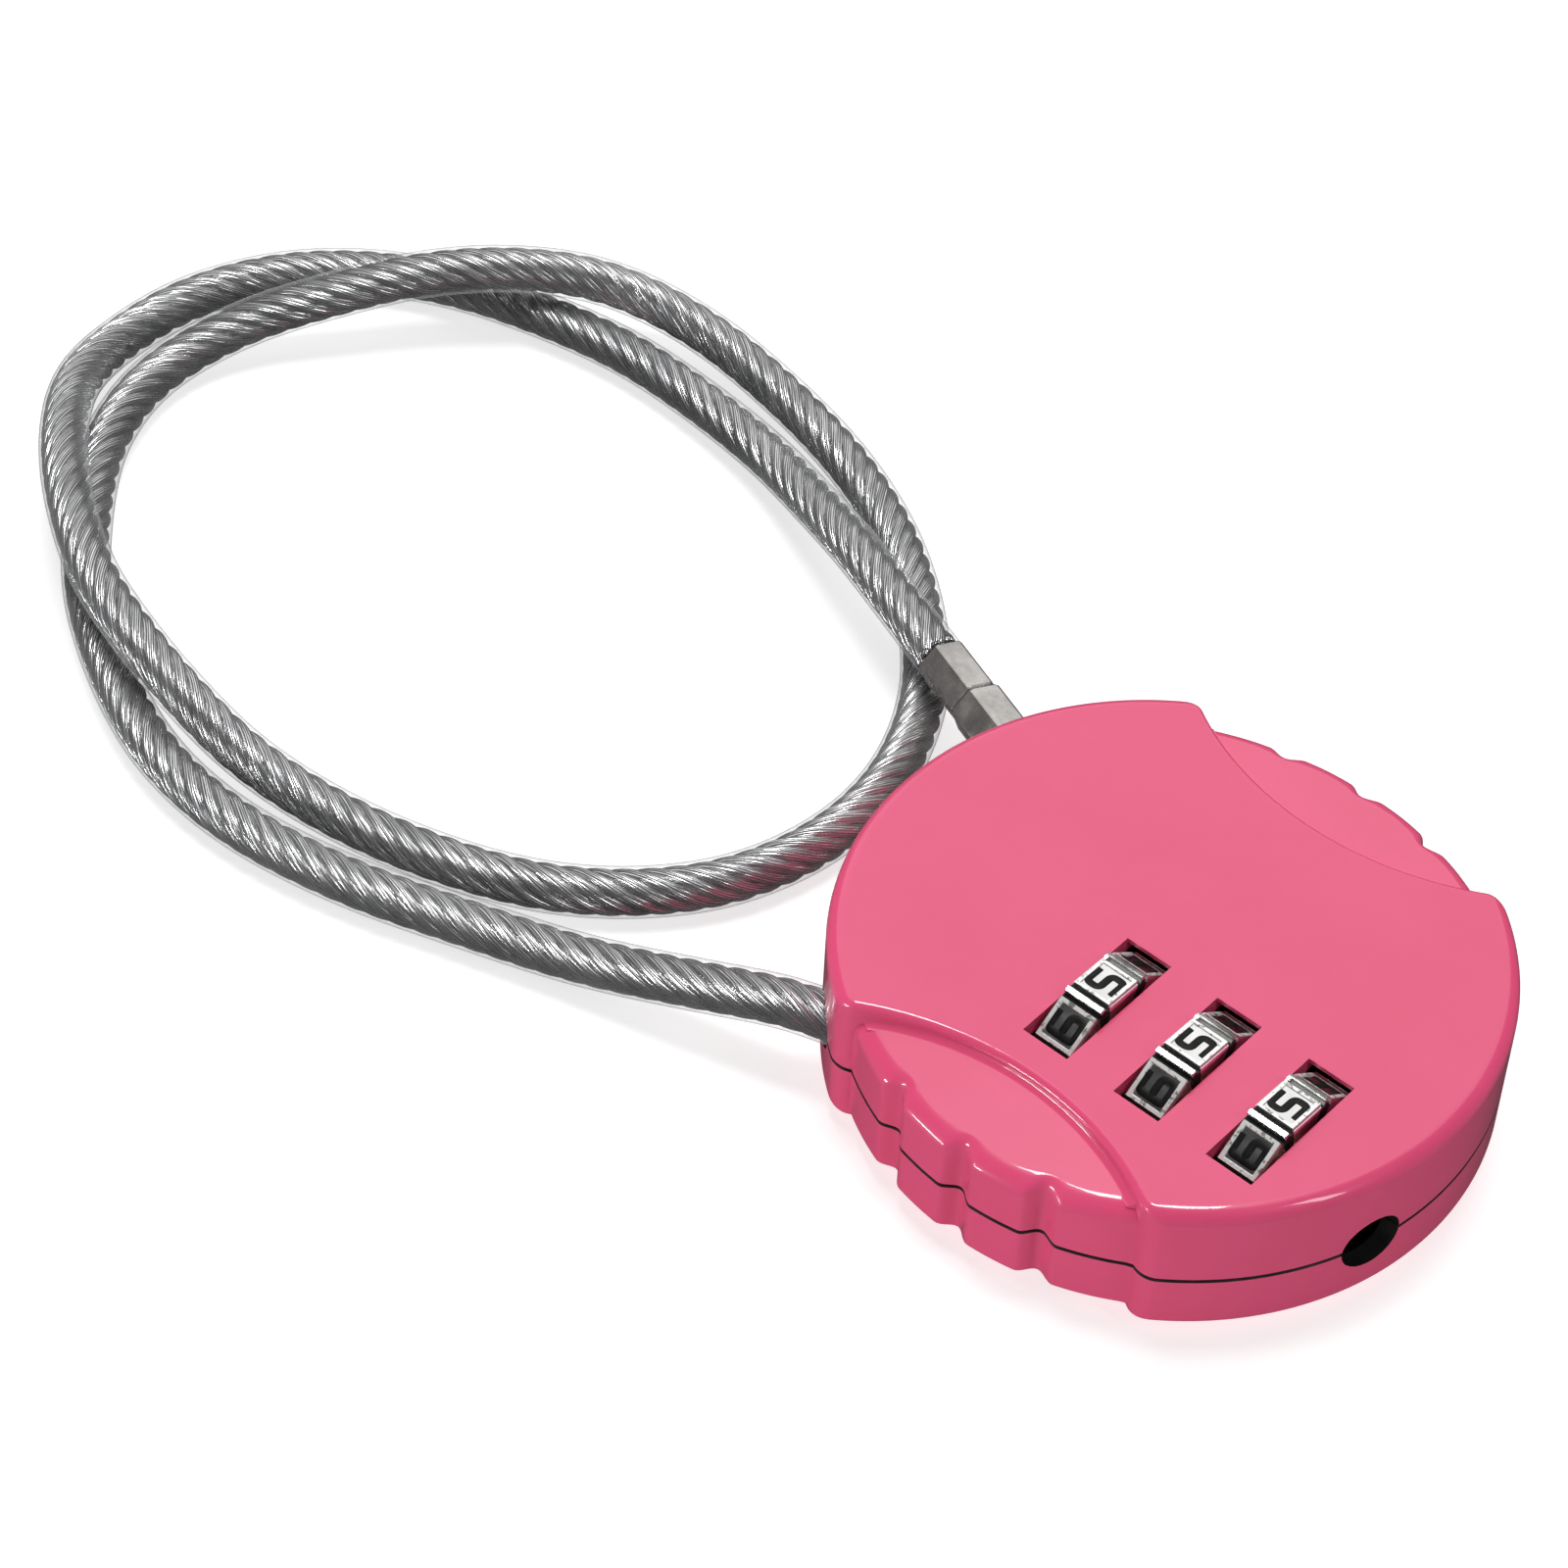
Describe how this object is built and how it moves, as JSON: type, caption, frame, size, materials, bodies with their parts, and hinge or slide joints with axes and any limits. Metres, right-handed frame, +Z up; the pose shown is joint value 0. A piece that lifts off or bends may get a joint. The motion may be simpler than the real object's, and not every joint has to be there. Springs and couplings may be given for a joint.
{
  "type": "three-dial cable luggage lock",
  "caption": "Round pink combination lock with number dials in its top face and a coiled steel cable ending in a locking pin.",
  "frame": {"origin": "centre of the round body, level with the surface the lock lies on", "axes": "+Z up out of the dial face; +X along the dials' shared axis, away from the cable; +Y from the dials towards the plain half of the body"},
  "size_m": [0.1385, 0.0693, 0.0147],
  "materials": {
    "shell_enamel": "gloss",
    "dial_nickel": "polished",
    "pin_nickel": "polished",
    "plain_steel": "satin",
    "brass": "turned",
    "jacketed_cable": "clear jacket over steel strands"
  },
  "bodies": {
    "lock_body": {"upper_shell": "shell_enamel", "lower_shell": "shell_enamel", "pin_socket_sleeve": "brass", "spindle_spring": "plain_steel", "reset_spring": "plain_steel", "reset_guide": "plain_steel", "detent_spring_1": "plain_steel", "detent_spring_2": "plain_steel", "detent_spring_3": "plain_steel", "lever_pivot": "plain_steel", "cable_anchor": "plain_steel", "steel_cable": "jacketed_cable", "shell_screw_1": "plain_steel", "shell_screw_2": "plain_steel", "shell_screw_3": "plain_steel", "shell_screw_4": "plain_steel"},
    "dial_1": {"number_wheel_1": "dial_nickel", "code_sleeve_1": "brass"},
    "dial_2": {"number_wheel_2": "dial_nickel", "code_sleeve_2": "brass"},
    "dial_3": {"number_wheel_3": "dial_nickel", "code_sleeve_3": "brass"},
    "spindle_unit": {"spindle": "plain_steel", "spindle_clip": "plain_steel"},
    "latch": {"latch_lever": "plain_steel"},
    "cable_pin": {"locking_pin": "pin_nickel", "cable_crimp": "pin_nickel"},
    "reset_plunger": {"reset_button": "dial_nickel"}
  },
  "joints": [
    {"name": "number_wheel_1_turn", "type": "hinge", "parent": "lock_body", "child": "dial_1", "pos_m": [-0.0007, -0.00745, 0.00737], "axis": [1, 0, 0], "continuous": true},
    {"name": "number_wheel_2_turn", "type": "hinge", "parent": "lock_body", "child": "dial_2", "pos_m": [0.0075, -0.00745, 0.00737], "axis": [1, 0, 0], "continuous": true},
    {"name": "number_wheel_3_turn", "type": "hinge", "parent": "lock_body", "child": "dial_3", "pos_m": [0.0157, -0.00745, 0.00737], "axis": [1, 0, 0], "continuous": true},
    {"name": "spindle_slide", "type": "slide", "parent": "lock_body", "child": "spindle_unit", "axis": [1, 0, 0], "range_m": [-0.002, 0], "deforming": ["spindle_spring"]},
    {"name": "latch_lever_turn", "type": "hinge", "parent": "lock_body", "child": "latch", "pos_m": [-0.01055, 0.00337, 0.00627], "axis": [0, 0, 1], "range_deg": [-10.7, 0]},
    {"name": "locking_pin_slide", "type": "slide", "parent": "lock_body", "child": "cable_pin", "axis": [-0.9391, 0.3437, 0], "range_m": [0, 0.014], "deforming": ["steel_cable"]},
    {"name": "reset_button_press", "type": "slide", "parent": "lock_body", "child": "reset_plunger", "axis": [-1, 0, 0], "range_m": [0, 0.001], "stiffness_N_per_m": 300, "deforming": ["reset_spring"]}
  ],
  "couplings": [
    {"joint": "latch_lever_turn", "follows": "spindle_slide", "rad_per_m": 93}
  ]
}
